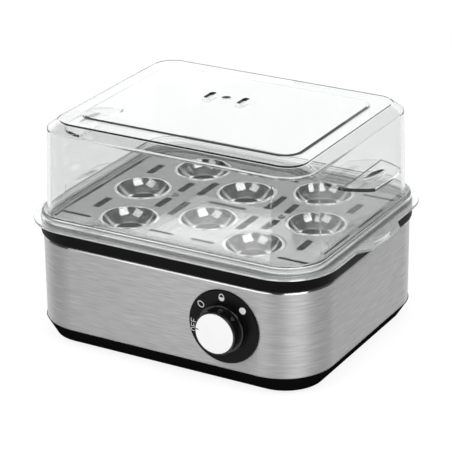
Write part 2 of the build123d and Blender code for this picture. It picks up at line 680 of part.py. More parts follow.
# Knob: skirt, slightly tapered grip, sunk face for the cap, hollow back with a hub
with BuildPart() as knob:
    disc(dial_face, knob_back, knob_back + SKIRT_HEIGHT, (0, 0), diameter=SKIRT_DIAMETER)
    fillet(knob.faces().sort_by(Axis.Y)[0].edges(), KNOB_ROUND)
    with BuildSketch(dial_face.offset(knob_back + SKIRT_HEIGHT)):
        Circle(KNOB_DIAMETER / 2)
    with BuildSketch(dial_face.offset(knob_front)):
        Circle(KNOB_FRONT / 2)
    loft()
    fillet(knob.faces().sort_by(Axis.Y)[0].edges(), KNOB_ROUND)
    cap_seat = CAP_DIAMETER + 2 * SEAT_GAP
    disc(dial_face, cap_back, knob_front, (0, 0), diameter=cap_seat, mode=Mode.SUBTRACT)
    with BuildSketch(dial_face.offset(knob_back)):
        Circle(KNOB_DIAMETER / 2 - KNOB_WALL)
        Circle(KNOB_HUB / 2, mode=Mode.SUBTRACT)
    extrude(amount=hollow_end - knob_back, mode=Mode.SUBTRACT)
    with BuildSketch(dial_face.offset(knob_back)):
        Circle(SHAFT_DIAMETER / 2 + RUN_GAP)
        with Locations((0, SHAFT_DIAMETER / 2 - SHAFT_FLAT + SPRING_SHEET + RUN_GAP)):
            Rectangle(SHAFT_DIAMETER, SHAFT_DIAMETER, align=(Align.CENTER, Align.MIN), mode=Mode.SUBTRACT)
    extrude(amount=hollow_end - knob_back, mode=Mode.SUBTRACT)

with BuildPart() as knob_cap:
    disc(dial_face, cap_back, cap_front, (0, 0), diameter=CAP_DIAMETER)
    fillet(knob_cap.faces().sort_by(Axis.Y)[0].edges(), CAP_ROUND)

with BuildPart() as knob_spring:
    with BuildSketch(dial_face.offset(knob_back)):
        with Locations((0, SHAFT_DIAMETER / 2 - SHAFT_FLAT)):
            Rectangle(SPRING_WIDTH, SPRING_SHEET, align=(Align.CENTER, Align.MIN))
    extrude(amount=shaft_end - knob_back)

# Gland: bush clipped in the back wall
with BuildPart() as cord_gland:
    disc(gland_face, 0, GLAND_FLANGE_THICKNESS, (0, 0), diameter=GLAND_FLANGE)
    fillet(cord_gland.faces().sort_by(Axis.Y)[-1].edges(), GLAND_FLANGE_THICKNESS / 2)
    gland_end = -WRAP_SHEET - GLAND_NUT_THICKNESS
    disc(gland_face, 0, gland_end, (0, 0), diameter=GLAND_BODY)
    disc(gland_face, -WRAP_SHEET, gland_end, (0, 0), diameter=GLAND_NUT)
    disc(gland_face, GLAND_FLANGE_THICKNESS, gland_end, (0, 0), diameter=GLAND_BORE, mode=Mode.SUBTRACT)

# Terminal block with its bores along Y
with BuildPart() as terminal_block:
    with BuildSketch(Plane.XY.offset(base_floor)):
        with Locations((gland_x, block_y)):
            RectangleRounded(BLOCK_LENGTH, BLOCK_WIDTH, BLOCK_CORNER)
    extrude(amount=BLOCK_HEIGHT)
    with BuildSketch(Plane.XZ.offset(-block_y - BLOCK_WIDTH / 2)):
        with Locations((gland_x, lead_z)):
            with GridLocations(BLOCK_PITCH, 0, BLOCK_WAYS, 1):
                Circle(BLOCK_BORE / 2)
    extrude(amount=BLOCK_WIDTH, mode=Mode.SUBTRACT)
    block_top = base_floor + BLOCK_HEIGHT
    pegs(block_screws, base_floor, block_top, BLOCK_SCREW + 2 * SEAT_GAP, Mode.SUBTRACT)
    sunk_from = block_top - BLOCK_SCREW_SINK
    pegs(block_screws, sunk_from, block_top, BLOCK_SCREW_HEAD + 2 * SEAT_GAP, Mode.SUBTRACT)

with BuildPart() as terminal_screws:
    pegs(block_screws, base_floor - BLOCK_SCREW_BITE + SEAT_GAP, sunk_from, BLOCK_SCREW)
    pegs(block_screws, sunk_from, sunk_from + BLOCK_SCREW, BLOCK_SCREW_HEAD)

# Leads inside the base, from the block to the regulator, element, thermostat and strap
block_mouth = block_y - BLOCK_WIDTH / 2
control_tip = -half_depth + control_depth + CONTROL_DEPTH + CONTROL_BLADE
control_blade_z = dial_z - CONTROL_BLADE_DROP
left_blade = (dial_x - CONTROL_BLADE_SPAN / 2, control_tip, control_blade_z)
right_blade = (dial_x + CONTROL_BLADE_SPAN / 2, control_tip, control_blade_z)
element_blade_y = leg_end + TAB_WIDTH / 2
thermostat_tip = THERMOSTAT_DIAMETER / 2 + THERMOSTAT_BLADE
thermostat_z = thermostat_low + TAB_SHEET / 2
live_points = [
    (gland_x - BLOCK_PITCH, block_mouth, lead_z),
    (gland_x - BLOCK_PITCH, block_mouth - LIVE_EXIT, lead_z),
    (right_blade[0], control_tip + LIVE_RISE_START, lead_z),
    (right_blade[0], control_tip + LIVE_TAIL, control_blade_z),
    right_blade,
]
fuse_turn = max(control_tip, element_blade_y) + FUSE_TAIL
fuse_points = [
    left_blade,
    (left_blade[0], fuse_turn, control_blade_z),
    (ELEMENT_LEG_X, fuse_turn, blade_low - ELEMENT_LEAD_DROP),
    (ELEMENT_LEG_X, element_blade_y, blade_low - ELEMENT_LEAD_DROP),
    (ELEMENT_LEG_X, element_blade_y, blade_low),
]
link_points = [
    (-ELEMENT_LEG_X, element_blade_y, blade_low),
    (-ELEMENT_LEG_X, element_blade_y, blade_low - ELEMENT_LEAD_DROP),
    (-thermostat_tip - THERMOSTAT_LEAD, THERMOSTAT_Y - LINK_TURN, blade_low - ELEMENT_LEAD_DROP),
    (-thermostat_tip - THERMOSTAT_LEAD, THERMOSTAT_Y, thermostat_z),
    (-thermostat_tip, THERMOSTAT_Y, thermostat_z),
]
neutral_points = [
    (thermostat_tip, THERMOSTAT_Y, thermostat_z),
    (thermostat_tip + THERMOSTAT_LEAD, THERMOSTAT_Y, thermostat_z),
    (thermostat_tip + THERMOSTAT_LEAD, 0, thermostat_z - NEUTRAL_DROP),
    (gland_x + BLOCK_PITCH, block_mouth - LEAD_EXIT, lead_z),
    (gland_x + BLOCK_PITCH, block_mouth, lead_z),
]
earth_points = [
    (gland_x, block_mouth, lead_z),
    (gland_x, block_mouth - LEAD_EXIT, lead_z),
    (gland_x + EARTH_SHIFT, 0, lead_z + EARTH_RISE),
    (gland_x + EARTH_SHIFT, 0, strap_low),
]

live_lead = lead(live_points)
link_lead = lead(link_points)
neutral_lead = lead(neutral_points)
earth_lead = lead(earth_points)

# One-shot fuse in its sleeve, on the lead from the regulator to the element
fuse_lead = lead(fuse_points)
fuse_run = Line(fuse_points[1], fuse_points[2])
fuse_start = fuse_run @ 0.5 - fuse_run % 0 * FUSE_LENGTH / 2
with BuildPart() as thermal_fuse:
    add(fuse_lead.part)
    with BuildSketch(Plane(origin=fuse_start, z_dir=fuse_run % 0)):
        Circle(FUSE_DIAMETER / 2)
    extrude(amount=FUSE_LENGTH)

# Carrier: brim with side tabs, upstand for the lid, well with the ledge for the rack
with BuildPart() as carrier:
    with BuildSketch(Plane.XY.offset(collar_top)):
        RectangleRounded(BODY_WIDTH + 2 * BRIM_PROUD, BODY_DEPTH + 2 * BRIM_PROUD, BRIM_CORNER)
        lid_outline(well_inner, mode=Mode.SUBTRACT)
    extrude(amount=BRIM_THICKNESS)
    brim_edge = half_width + BRIM_PROUD
    tab_root = brim_edge - BRIM_THICKNESS
    tab_tip = half_width + CARRIER_TAB_REACH - TAB_BULGE
    for side in sides:
        tab(
            side, tab_root, tab_tip, CARRIER_TAB_ROOT, CARRIER_TAB_TIP, CARRIER_TAB_BULGE,
            collar_top, brim_top,
        )
        finger_hollow(side * (half_width + CARRIER_HOLLOW), brim_top)
    outline = carrier.faces().sort_by(Axis.Z)[-1].outer_wire().edges()
    fillet(outline.filter_by(lambda edge: abs(edge.center().X) <= brim_edge), BRIM_ROUND)
    outline = carrier.faces().sort_by(Axis.Z)[-1].outer_wire().edges()
    fillet(outline.filter_by(lambda edge: abs(edge.center().X) > brim_edge), BRIM_ROUND)
    ring(lid_outline, UPSTAND_INSET, lid_outline, UPSTAND_INSET + UPSTAND_WALL, brim_top, upstand_top)
    fillet(carrier.faces().sort_by(Axis.Z)[-1].outer_wire().edges(), BRIM_ROUND)
    ring(lid_outline, WELL_INSET, lid_outline, well_inner, well_floor, collar_top)
    ring(lid_outline, WELL_INSET, lid_outline, well_inner + CARRIER_LEDGE, well_floor, rack_seat)

# One pressed egg cup: slope up from the plate, rounded lip, bowl with a round hole
with BuildPart() as cup:
    lip_top = rack_top + CUP_LIP_RISE
    lip = CUP_LIP / 2
    foot = lip + CUP_SLOPE
    lip_inner = lip - CUP_LIP_WIDTH
    hole = CUP_HOLE / 2
    bowl_low = lip_top - CUP_DEPTH
    crown = lip - CUP_LIP_WIDTH / 2, lip_top + CUP_LIP_CROWN
    belly = (lip_inner + hole) / 2 + CUP_BELLY / sqrt(2), (lip_top + bowl_low) / 2 - CUP_BELLY / sqrt(2)
    with BuildSketch(Plane.XZ):
        with BuildLine():
            Line((foot, rack_top), (lip, lip_top))
            ThreePointArc((lip, lip_top), crown, (lip_inner, lip_top))
            ThreePointArc((lip_inner, lip_top), belly, (hole, bowl_low))
            Line((hole, bowl_low), (hole, bowl_low - RACK_SHEET))
            under_belly = belly[0] + RACK_SHEET / sqrt(2), belly[1] - RACK_SHEET / sqrt(2)
            ThreePointArc((hole, bowl_low - RACK_SHEET), under_belly, (lip, rack_top - RACK_SHEET))
            Line((lip, rack_top - RACK_SHEET), (foot, rack_top - RACK_SHEET))
            Line((foot, rack_top - RACK_SHEET), (foot, rack_top))
        make_face()
    revolve(axis=Axis.Z)

# Rack: plate with a turned-down rim, eight cups, steam slots and two pressed eyelets
with BuildPart() as egg_rack:
    with BuildSketch(Plane.XY.offset(rack_top - RACK_SHEET)):
        lid_outline(rack_inset)
        with Locations(*cup_spots):
            Circle(foot, mode=Mode.SUBTRACT)
    extrude(amount=RACK_SHEET)
    ring(lid_outline, rack_inset, lid_outline, rack_inset + RACK_SHEET, rack_seat, rack_top)
    fillet(egg_rack.faces().sort_by(Axis.Z)[-1].outer_wire().edges(), RACK_ROUND)
    with Locations(*cup_spots):
        add(cup.part)
    with Locations(*[(x, y, rack_top) for x, y in pip_spots]):
        Cone(PIP_DIAMETER / 2, PIP_TOP / 2, PIP_RISE, align=(Align.CENTER, Align.CENTER, Align.MIN))
    pegs(pip_spots, rack_top - RACK_SHEET, rack_top + PIP_RISE, PIP_HOLE, Mode.SUBTRACT)
    with BuildSketch(Plane.XY.offset(rack_top)):
        for x, y, length in (INNER_SLOT, MIDDLE_SLOT, OUTER_SLOT):
            with GridLocations(2 * x, 2 * y, 2, 2):
                RectangleRounded(SLOT_WIDTH, length, SLOT_CORNER)
        RectangleRounded(CENTRE_SLOT_LENGTH, CENTRE_SLOT_WIDTH, SLOT_CORNER)
        with GridLocations(2 * (rack_half_width - SIDE_BORDER_INSET), 2 * SIDE_BORDER_Y, 2, 2):
            RectangleRounded(BORDER_SLOT_WIDTH, SIDE_BORDER_LENGTH, SLOT_CORNER)
        for x, length in ((END_CORNER_X, END_CORNER_LENGTH), (END_MIDDLE_X, END_MIDDLE_LENGTH)):
            with GridLocations(2 * x, 2 * (rack_half_depth - END_BORDER_INSET), 2, 2):
                RectangleRounded(length, BORDER_SLOT_WIDTH, SLOT_CORNER)
    extrude(amount=-RACK_SHEET, mode=Mode.SUBTRACT)

# Lid: clear dome on a flange, with a rib inside the upstand, side tabs, raised panel and vents
lid_outside = dome(LID_INSET, shoulder_low, lid_top, SHOULDER_ROUND, LID_TOP_ROUND)
lid_inside = dome(
    LID_INSET + LID_WALL, shoulder_low - LID_WALL * shoulder_step, lid_top - LID_WALL,
    SHOULDER_ROUND - LID_WALL, LID_TOP_ROUND - LID_WALL,
)
with BuildPart() as lid:
    with BuildSketch(Plane.XY.offset(upstand_top)):
        lid_outline(LID_FLANGE_INSET)
    extrude(amount=LID_FLANGE_THICKNESS)
    fillet(lid.faces().sort_by(Axis.Z)[-1].edges(), LID_FLANGE_ROUND)
    add(lid_outside.part)
    wall_x = half_width - LID_INSET - LID_TAB_HEIGHT * tan(wall_angle)
    lid_tab_tip = half_width + LID_TAB_REACH - TAB_BULGE
    for side in sides:
        tab(
            side, wall_x - TAB_SINK, lid_tab_tip, LID_TAB_ROOT, LID_TAB_TIP, TAB_BULGE,
            lid_tab_top - LID_TAB_THICKNESS, lid_tab_top,
        )
        finger_hollow(side * (wall_x + lid_tab_tip) / 2, lid_tab_top)
    add(lid_inside.part, mode=Mode.SUBTRACT)
    lid_rib = UPSTAND_INSET + UPSTAND_WALL + LID_RIB_GAP
    ring(lid_outline, lid_rib, lid_outline, lid_rib + LID_RIB_WALL, upstand_top - LID_RIB_DEPTH, upstand_top)
    with BuildSketch(Plane.XY.offset(lid_top)):
        RectangleRounded(BODY_WIDTH - 2 * PANEL_INSET_X, BODY_DEPTH - 2 * PANEL_INSET_Y, PANEL_CORNER)
    extrude(amount=PANEL_RISE, taper=PANEL_SLOPE)
    panel_top = lid_top + PANEL_RISE
    with BuildSketch(Plane.XY.offset(lid_top - LID_WALL)):
        with Locations((VENT_X, VENT_Y)):
            with GridLocations(VENT_SPAN, 0, 2, 1):
                SlotOverall(VENT_LENGTH + 2 * VENT_RIM, VENT_WIDTH + 2 * VENT_RIM, rotation=90)
    extrude(amount=-VENT_RIM_DEPTH)
    with BuildSketch(Plane.XY.offset(panel_top)):
        with Locations((VENT_X, VENT_Y)):
            with GridLocations(VENT_SPAN, 0, 2, 1):
                SlotOverall(VENT_LENGTH, VENT_WIDTH, rotation=90)
    extrude(amount=-PANEL_RISE - LID_WALL - VENT_RIM_DEPTH, mode=Mode.SUBTRACT)
    dimple_ball = (VENT_DIMPLE**2 / 4 + VENT_DIMPLE_SINK**2) / (2 * VENT_DIMPLE_SINK)
    with Locations((VENT_X, VENT_Y, panel_top - VENT_DIMPLE_SINK + dimple_ball)):
        Sphere(dimple_ball, mode=Mode.SUBTRACT)

pieces = {
    "base_tray": base_tray,
    "rubber_feet": rubber_feet,
    "steel_wrap": steel_wrap,
    "top_collar": top_collar,
    "base_screws": base_screws,
    "pan_gasket": pan_gasket,
    "water_pan": water_pan,
    "heat_spreader": heat_spreader,
    "heating_element": heating_element,
    "pan_strap": pan_strap,
    "strap_nut": strap_nut,
    "strap_screws": strap_screws,
    "boil_dry_thermostat": boil_dry_thermostat,
    "thermostat_screws": thermostat_screws,
    "control_plate": control_plate,
    "control_body": control_body,
    "control_screws": control_screws,
    "control_shaft": control_shaft,
    "dial_bezel": dial_bezel,
    "knob": knob,
    "knob_cap": knob_cap,
    "knob_spring": knob_spring,
    "cord_gland": cord_gland,
    "terminal_block": terminal_block,
    "terminal_screws": terminal_screws,
    "live_lead": live_lead,
    "link_lead": link_lead,
    "neutral_lead": neutral_lead,
    "earth_lead": earth_lead,
    "thermal_fuse": thermal_fuse,
    "carrier": carrier,
    "egg_rack": egg_rack,
    "lid": lid,
}
for name, piece in pieces.items():
    piece.part.label = name
    export_step(piece.part, f"parts/{name}.step")
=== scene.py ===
"""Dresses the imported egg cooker: finishes, printed dial marks, studio and camera."""

import logging
import math
from dataclasses import dataclass
from enum import Enum

import bmesh
import bpy
import numpy as np
from mathutils import Matrix, Vector


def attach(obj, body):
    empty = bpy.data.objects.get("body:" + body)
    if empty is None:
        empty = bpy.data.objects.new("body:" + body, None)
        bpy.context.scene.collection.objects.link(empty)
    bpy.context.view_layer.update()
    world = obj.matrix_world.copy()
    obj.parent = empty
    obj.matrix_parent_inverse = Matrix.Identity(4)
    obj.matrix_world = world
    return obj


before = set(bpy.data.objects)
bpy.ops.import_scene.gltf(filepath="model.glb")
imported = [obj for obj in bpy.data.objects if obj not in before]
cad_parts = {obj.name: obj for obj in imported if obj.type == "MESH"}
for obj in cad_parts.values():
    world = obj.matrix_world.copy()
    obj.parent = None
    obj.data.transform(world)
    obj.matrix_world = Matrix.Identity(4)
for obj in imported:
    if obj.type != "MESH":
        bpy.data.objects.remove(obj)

LOG = logging.getLogger("egg_cooker")
MM = 0.001
DOUBLES = 1e-7

Colour = tuple[float, float, float, float]


def tint(red: float, green: float, blue: float) -> Colour:
    """Turns a display colour into linear light: ((v + 0.055) / 1.055) ^ 2.4, or v / 12.92 where v is dark.

    Args:
        red: Display red, 0 to 255.
        green: Display green, 0 to 255.
        blue: Display blue, 0 to 255.

    Returns:
        The linear colour, opaque.
    """
    shown = np.array((red, green, blue)) / 255
    linear = np.where(shown > 0.04045, ((shown + 0.055) / 1.055) ** 2.4, shown / 12.92)
    return (float(linear[0]), float(linear[1]), float(linear[2]), 1.0)


def grey(level: float) -> Colour:
    """Turns one display grey, 0 to 255, into a linear colour."""
    return tint(level, level, level)


def scaled(colour: Colour, factor: float) -> Colour:
    """Gives a colour made darker or lighter by a factor, still opaque."""
    return (colour[0] * factor, colour[1] * factor, colour[2] * factor, 1.0)


class NodeBoard:
    """A node tree with a short way to add nodes and join their sockets."""

    def __init__(self, tree: bpy.types.NodeTree) -> None:
        """Keeps the tree that the nodes go into."""
        self.tree = tree

    def add(self, kind: str, values: dict[str | int, object] | None = None, **settings: object) -> bpy.types.Node:
        """Adds one node, sets it up and joins it to the nodes before it.

        Args:
            kind: The node's type name.
            values: What each input takes: an output socket to join, or a plain value.
            settings: The node's own options.

        Returns:
            The new node.
        """
        node = self.tree.nodes.new(kind)
        for key, setting in settings.items():
            setattr(node, key, setting)
        for key, value in (values or {}).items():
            if isinstance(value, bpy.types.NodeSocket):
                self.tree.links.new(value, node.inputs[key])
            else:
                node.inputs[key].default_value = value
        return node

    def spread(self, value: bpy.types.NodeSocket, low: float, high: float) -> bpy.types.NodeSocket:
        """Maps a mask from 0..1 to low..high.

        Args:
            value: The mask's socket.
            low: Result where the mask is 0.
            high: Result where the mask is 1.

        Returns:
            The socket with the mapped value.
        """
        mapped = self.add("ShaderNodeMapRange", {"Value": value, "To Min": low, "To Max": high})
        return mapped.outputs["Result"]

    def blend(self, mask: bpy.types.NodeSocket, first: object, second: object) -> bpy.types.NodeSocket:
        """Mixes two colours by a mask.

        Args:
            mask: 0 shows the first colour and 1 the second.
            first: A colour or a colour socket.
            second: A colour or a colour socket.

        Returns:
            The socket with the mixed colour.
        """
        mixed = self.add("ShaderNodeMix", {0: mask, 6: first, 7: second}, data_type="RGBA")
        return mixed.outputs[2]


class Effects:
    """The surface effects that several finishes share, each a node group that is built once."""

    LINE_DETAIL: float = 3.0
    BAND_SCALE: float = 0.22
    BAND_DETAIL: float = 1.0
    BAND_SHARE: float = 0.12
    PIT_DETAIL: float = 2.0
    CLOUD_SIZE: float = 60.0
    CLOUD_DETAIL: float = 3.0

    @staticmethod
    def _new(name: str, inputs: dict[str, str],
             outputs: list[str]) -> tuple[NodeBoard, bpy.types.Node, bpy.types.Node]:
        """Starts a node group with its sockets.

        Args:
            name: The group's name.
            inputs: Socket name to socket type.
            outputs: Names of the value sockets that the group puts out.

        Returns:
            The group's board, its input node and its output node.
        """
        tree = bpy.data.node_groups.new(name, "ShaderNodeTree")
        for key, kind in inputs.items():
            tree.interface.new_socket(key, in_out="INPUT", socket_type=kind)
        for key in outputs:
            tree.interface.new_socket(key, in_out="OUTPUT", socket_type="NodeSocketFloat")
        board = NodeBoard(tree)
        return board, board.add("NodeGroupInput"), board.add("NodeGroupOutput")

    @classmethod
    def brush_lines(cls) -> bpy.types.NodeTree:
        """Fine level lines with slow bands: noise N(run x, run y, lines z), mixed from a fine and a coarse set.

        Returns:
            The group, with Streak from 0 to 1.
        """
        known = bpy.data.node_groups.get("brush_lines")
        if known:
            return known
        inputs = {"Vector": "NodeSocketVector", "Lines": "NodeSocketFloat", "Run": "NodeSocketFloat"}
        board, given, result = cls._new("brush_lines", inputs, ["Streak"])
        stretch = board.add("ShaderNodeCombineXYZ", {0: given.outputs["Run"], 1: given.outputs["Run"],
                                                     2: given.outputs["Lines"]})
        level = board.add("ShaderNodeVectorMath", {0: given.outputs["Vector"], 1: stretch.outputs[0]},
                          operation="MULTIPLY")
        fine = board.add("ShaderNodeTexNoise", {"Vector": level.outputs[0], "Scale": 1.0,
                                                "Detail": cls.LINE_DETAIL})
        coarse = board.add("ShaderNodeTexNoise", {"Vector": level.outputs[0], "Scale": cls.BAND_SCALE,
                                                  "Detail": cls.BAND_DETAIL})
        streak = board.add("ShaderNodeMix", {0: cls.BAND_SHARE, 2: fine.outputs[0], 3: coarse.outputs[0]})
        board.tree.links.new(streak.outputs[0], result.inputs["Streak"])
        return board.tree

    @classmethod
    def moulded_grain(cls) -> bpy.types.NodeTree:
        """A moulded skin: fine pits N(scale p) for height, and slow clouds N(scale p / 60) for tone.

        Returns:
            The group, with Height and Cloud from 0 to 1.
        """
        known = bpy.data.node_groups.get("moulded_grain")
        if known:
            return known
        inputs = {"Vector": "NodeSocketVector", "Scale": "NodeSocketFloat"}
        board, given, result = cls._new("moulded_grain", inputs, ["Height", "Cloud"])
        pits = board.add("ShaderNodeTexNoise", {"Vector": given.outputs["Vector"], "Scale": given.outputs["Scale"],
                                                "Detail": cls.PIT_DETAIL})
        slow = board.add("ShaderNodeMath", {0: given.outputs["Scale"], 1: cls.CLOUD_SIZE}, operation="DIVIDE")
        cloud = board.add("ShaderNodeTexNoise", {"Vector": given.outputs["Vector"], "Scale": slow.outputs[0],
                                                 "Detail": cls.CLOUD_DETAIL})
        board.tree.links.new(pits.outputs[0], result.inputs["Height"])
        board.tree.links.new(cloud.outputs[0], result.inputs["Cloud"])
        return board.tree


class MaterialBoard(NodeBoard):
    """A material's node tree, with its shader, its output and its own Object coordinates at hand."""

    def __init__(self, name: str) -> None:
        """Starts a material with a shader and Object coordinates.

        Args:
            name: The material's name.
        """
        self.material = bpy.data.materials.new(name)
        self.material.use_nodes = True
        super().__init__(self.material.node_tree)
        self.shader = self.tree.nodes["Principled BSDF"]
        self.output = self.tree.nodes["Material Output"]
        self.place = self.add("ShaderNodeTexCoord").outputs["Object"]

    def set(self, **sockets: object) -> None:
        """Sets or joins the shader's sockets; an underscore in a name stands for a space.

        Args:
            sockets: Socket name to a plain value or an output socket.
        """
        for key, value in sockets.items():
            target = self.shader.inputs[key.replace("_", " ")]
            if isinstance(value, bpy.types.NodeSocket):
                self.tree.links.new(value, target)
            else:
                target.default_value = value

    def bump(self, height: bpy.types.NodeSocket, distance: float, strength: float) -> None:
        """Raises the surface by a height mask.

        Args:
            height: The mask's socket.
            distance: Height of a mask of 1, in metres.
            strength: How much of it shows.
        """
        raised = self.add("ShaderNodeBump", {"Height": height, "Distance": distance, "Strength": strength})
        self.tree.links.new(raised.outputs["Normal"], self.shader.inputs["Normal"])


class Working(Enum):
    """How a metal surface was worked, which sets the way its lines run."""

    BRUSHED = "brushed"
    ROLLED = "rolled"
    PLATED = "plated"


LINES_AND_RUN: dict[Working, tuple[float, float]] = {Working.BRUSHED: (1300.0, 65.0), Working.ROLLED: (420.0, 60.0)}
PLATED_GRAIN = 4000.0
QUARTER_TURN = 0.25
MOULDED_SPREAD = 0.04
GRAIN_STRENGTH = 0.3
CLEAR_GRAIN = 1500.0
CLEAR_VARIATION = 0.01
WAVE_STRENGTH = 0.2
LAMP_LOSS = 0.05


@dataclass(frozen=True)
class MetalFinish:
    """A bare metal with the lines or clouds that its working leaves."""

    name: str
    colour: Colour
    roughness: float
    working: Working = Working.ROLLED
    variation: float = 0.06
    spread: float = 0.05
    anisotropy: float = 0.0

    def _pattern(self, board: MaterialBoard) -> bpy.types.NodeSocket:
        """Picks the mask that varies tone and roughness.

        Args:
            board: The material that the mask goes into.

        Returns:
            The mask's socket.
        """
        if self.working is Working.PLATED:
            clouds = board.add("ShaderNodeGroup", {"Vector": board.place, "Scale": PLATED_GRAIN},
                               node_tree=Effects.moulded_grain())
            return clouds.outputs["Cloud"]
        lines, run = LINES_AND_RUN[self.working]
        streaks = board.add("ShaderNodeGroup", {"Vector": board.place, "Lines": lines, "Run": run},
                            node_tree=Effects.brush_lines())
        return streaks.outputs["Streak"]

    def _board(self) -> MaterialBoard:
        """Makes the board: tone and roughness follow the working's mask.

        Returns:
            The material's board.
        """
        board = MaterialBoard(self.name)
        mask = self._pattern(board)
        tone = board.blend(mask, scaled(self.colour, 1 - self.variation), scaled(self.colour, 1 + self.variation))
        board.set(Base_Color=tone, Metallic=1.0, Anisotropic=self.anisotropy, Anisotropic_Rotation=QUARTER_TURN,
                  Roughness=board.spread(mask, self.roughness - self.spread, self.roughness + self.spread))
        if self.anisotropy:
            round_z = board.add("ShaderNodeTangent", direction_type="RADIAL", axis="Z")
            board.set(Tangent=round_z.outputs["Tangent"])
        return board

    def build(self) -> bpy.types.Material:
        """Gives the finished material."""
        return self._board().material


@dataclass(frozen=True)
class RimmedFinish(MetalFinish):
    """A worked metal sheet whose upper rim is bent in and left smooth."""

    rim: float = 0.0
    rim_lean: float = 0.0
    rim_roughness: float = 0.0

    def build(self) -> bpy.types.Material:
        """Makes the sheet's material; where z > rim its normal is N + lean * up, made unit length.

        Returns:
            The finished material.
        """
        board = self._board()
        height = board.add("ShaderNodeSeparateXYZ", {0: board.place}).outputs["Z"]
        above = board.add("ShaderNodeMath", {0: height, 1: self.rim}, operation="GREATER_THAN").outputs[0]
        lean = board.add("ShaderNodeMath", {0: above, 1: self.rim_lean}, operation="MULTIPLY")
        rise = board.add("ShaderNodeCombineXYZ", {2: lean.outputs[0]})
        faced = board.add("ShaderNodeNewGeometry").outputs["Normal"]
        bent = board.add("ShaderNodeVectorMath", {0: faced, 1: rise.outputs[0]}, operation="ADD")
        unit = board.add("ShaderNodeVectorMath", {0: bent.outputs[0]}, operation="NORMALIZE")
        plain = board.shader.inputs["Roughness"].links[0].from_socket
        smooth = board.add("ShaderNodeMix", {0: above, 2: plain, 3: self.rim_roughness})
        board.set(Normal=unit.outputs[0], Roughness=smooth.outputs[0])
        return board.material


@dataclass(frozen=True)
class CuppedFinish(MetalFinish):
    """A pressed metal sheet with round cups, with painted highlight rings in its colour at the cups' lips and hole
    edges.
    """

    cups: tuple[tuple[float, float, float], ...] = ()
    # Radius and half width of each painted highlight ring, and the lighter colour painted there as a highlight.
    highlight_rings: tuple[tuple[float, float], ...] = ()
    painted_highlight: Colour = (1.0, 1.0, 1.0, 1.0)

    def build(self) -> bpy.types.Material:
        """Makes the sheet's material: painted highlight colour where |d - radius| < half width, d the way to the
        nearest cup.

        The cups lie the same in all four quarters, so d is taken from (|x|, |y|).

        Returns:
            The finished material.
        """
        board = self._board()
        flat = board.add("ShaderNodeVectorMath", {0: board.place, 1: (1.0, 1.0, 0.0)}, operation="MULTIPLY")
        folded = board.add("ShaderNodeVectorMath", {0: flat.outputs[0]}, operation="ABSOLUTE").outputs[0]
        ways = [board.add("ShaderNodeVectorMath", {0: folded, 1: cup}, operation="DISTANCE").outputs["Value"]
                for cup in self.cups]
        nearest = ways[0]
        for way in ways[1:]:
            nearest = board.add("ShaderNodeMath", {0: nearest, 1: way}, operation="MINIMUM").outputs[0]
        tone = board.shader.inputs["Base Color"].links[0].from_socket
        # Painted highlight: the lips and hole edges are given a lighter colour, standing in for reflections.
        for radius, half_width in self.highlight_rings:
            ring = board.add("ShaderNodeMath", {0: nearest, 1: radius, 2: half_width}, operation="COMPARE")
            tone = board.blend(ring.outputs[0], tone, self.painted_highlight)
        board.set(Base_Color=tone)
        return board.material


@dataclass(frozen=True)
class PlasticFinish:
    """A moulded plastic or rubber with fine grain and slightly cloudy tone."""

    name: str
    colour: Colour
    roughness: float
    specular: float = 0.5
    grain: float = 6000.0
    depth: float = 0.00002
    variation: float = 0.1

    def _board(self) -> MaterialBoard:
        """Makes the board with tone, roughness and grain in place.

        Returns:
            The material's board.
        """
        board = MaterialBoard(self.name)
        skin = board.add("ShaderNodeGroup", {"Vector": board.place, "Scale": self.grain},
                         node_tree=Effects.moulded_grain())
        tone = board.blend(skin.outputs["Cloud"], scaled(self.colour, 1 - self.variation),
                           scaled(self.colour, 1 + self.variation))
        board.set(Base_Color=tone, Specular_IOR_Level=self.specular,
                  Roughness=board.spread(skin.outputs["Cloud"], self.roughness - MOULDED_SPREAD,
                                         self.roughness + MOULDED_SPREAD))
        board.bump(skin.outputs["Height"], self.depth, GRAIN_STRENGTH)
        return board

    def build(self) -> bpy.types.Material:
        """Gives the finished material."""
        return self._board().material


@dataclass(frozen=True)
class PointerFinish(PlasticFinish):
    """A plastic cap with a short dark line printed at its rim."""

    centre: tuple[float, float, float] = (0.0, 0.0, 0.0)
    angle: float = 0.0
    inner: float = 0.0
    half_width: float = 0.0
    ink: Colour = (0.0, 0.0, 0.0, 1.0)

    def build(self) -> bpy.types.Material:
        """Makes the cap's material: ink where u > inner and |v| < half_width, turned to the line's angle.

        Returns:
            The finished material.
        """
        board = self._board()
        shifted = board.add("ShaderNodeVectorMath", {0: board.place, 1: self.centre}, operation="SUBTRACT")
        turned = board.add("ShaderNodeVectorRotate", {"Vector": shifted.outputs[0], "Angle": self.angle},
                           rotation_type="Y_AXIS")
        axes = board.add("ShaderNodeSeparateXYZ", {0: turned.outputs[0]})
        beyond = board.add("ShaderNodeMath", {0: axes.outputs["X"], 1: self.inner}, operation="GREATER_THAN")
        beside = board.add("ShaderNodeMath", {0: axes.outputs["Z"]}, operation="ABSOLUTE")
        within = board.add("ShaderNodeMath", {0: beside.outputs[0], 1: self.half_width}, operation="LESS_THAN")
        mark = board.add("ShaderNodeMath", {0: beyond.outputs[0], 1: within.outputs[0]}, operation="MULTIPLY")
        plain = board.shader.inputs["Base Color"].links[0].from_socket
        board.set(Base_Color=board.blend(mark.outputs[0], plain, self.ink))
        return board.material


